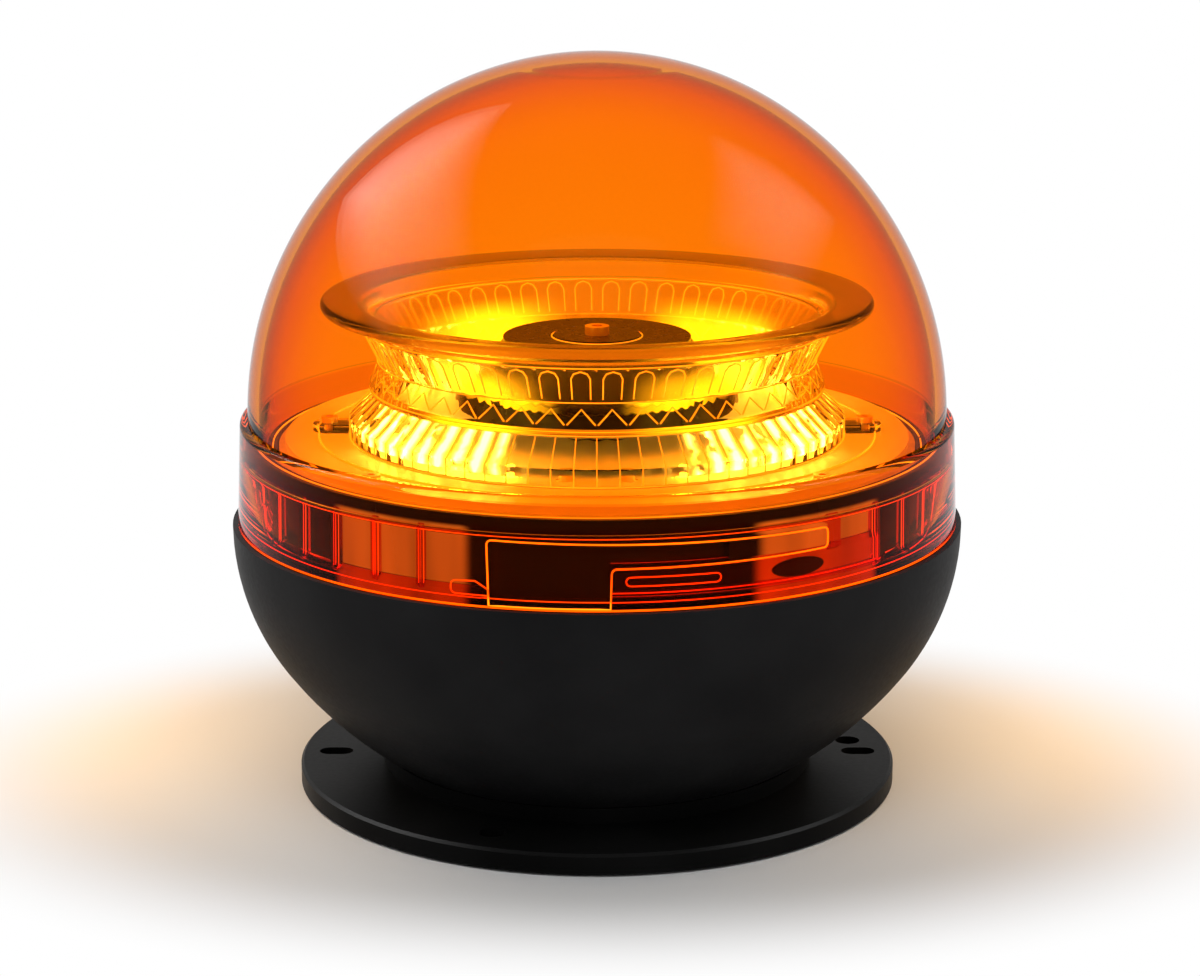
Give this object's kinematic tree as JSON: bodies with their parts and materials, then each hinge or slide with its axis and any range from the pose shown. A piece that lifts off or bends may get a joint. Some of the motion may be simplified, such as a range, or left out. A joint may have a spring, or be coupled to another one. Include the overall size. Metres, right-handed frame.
{
  "type": "rotating beacon",
  "caption": "Domed warning beacon: orange bayonet lens over a ring of lights and a geared turning clear optic, on a black bowl with a round bolt flange.",
  "frame": {"origin": "centre of the mounting face, on the underside of the flange", "axes": "+Z along the beacon's own axis, up through the dome; -Y is the viewer's side; the flange slots lie on X"},
  "size_m": [0.1568, 0.1568, 0.1579],
  "materials": {
    "lens_orange": "clear amber-orange, polished",
    "housing_black": "satin moulded black",
    "chassis_black": "matt moulded black",
    "clear_optic": "clear acrylic, polished",
    "board_white": "white solder mask",
    "board_green": "green solder mask",
    "led_lit": "lit amber LED",
    "led_dark": "unlit LED with yellow phosphor",
    "aluminium": "milled",
    "steel": "zinc plated steel",
    "screw_black": "blackened steel",
    "bronze": "sintered bronze",
    "rubber": "black rubber",
    "gear_nylon": "natural nylon",
    "motor_steel": "plated can",
    "capacitor_sleeve": "sleeved can",
    "copper_coil": "enamelled wire",
    "terminal_green": "moulded green"
  },
  "bodies": {
    "base": {"mounting_flange": "housing_black", "base_bowl": "housing_black", "lens_seal": "rubber", "cable_grommet": "rubber", "board_standoffs": "bronze", "driver_board": "board_green", "capacitors": "capacitor_sleeve", "power_coil": "copper_coil", "terminal_block": "terminal_green", "driver_chip": "chassis_black", "chassis": "chassis_black", "heat_plate": "aluminium", "led_board": "board_white", "leds_lit": "led_lit", "leds_dark": "led_dark", "prism_ring": "clear_optic", "spindle": "steel", "spindle_nut": "steel", "thrust_washer": "steel", "retaining_clip": "steel", "motor_can": "motor_steel", "flange_screws": "steel", "chassis_screws": "steel", "deck_screws": "screw_black", "prism_screws": "screw_black", "motor_screws": "steel", "board_screws": "steel"},
    "rotor": {"rotor_hub": "housing_black", "lower_bush": "bronze", "upper_bush": "bronze", "hub_cap": "chassis_black", "hub_screw": "screw_black", "funnel_optic": "clear_optic", "optic_screws": "screw_black", "drive_gear": "gear_nylon", "gear_screws": "steel"},
    "pinion": {"motor_pinion": "gear_nylon", "motor_shaft": "steel"},
    "lens": {"dome_lens": "lens_orange"}
  },
  "joints": [
    {"name": "rotor_spin", "type": "hinge", "parent": "base", "child": "rotor", "pos_m": [0, 0, 0.0546], "axis": [0, 0, 1], "continuous": true},
    {"name": "pinion_spin", "type": "hinge", "parent": "base", "child": "pinion", "pos_m": [0, 0.0301, 0.0546], "axis": [0, 0, 1], "continuous": true},
    {"name": "lens_twist", "type": "hinge", "parent": "base", "child": "lens", "pos_m": [0, 0, 0.0577], "axis": [0, 0, 1], "range_deg": [0, 37]}
  ],
  "couplings": [
    {"joint": "pinion_spin", "follows": "rotor_spin", "ratio": -4}
  ]
}
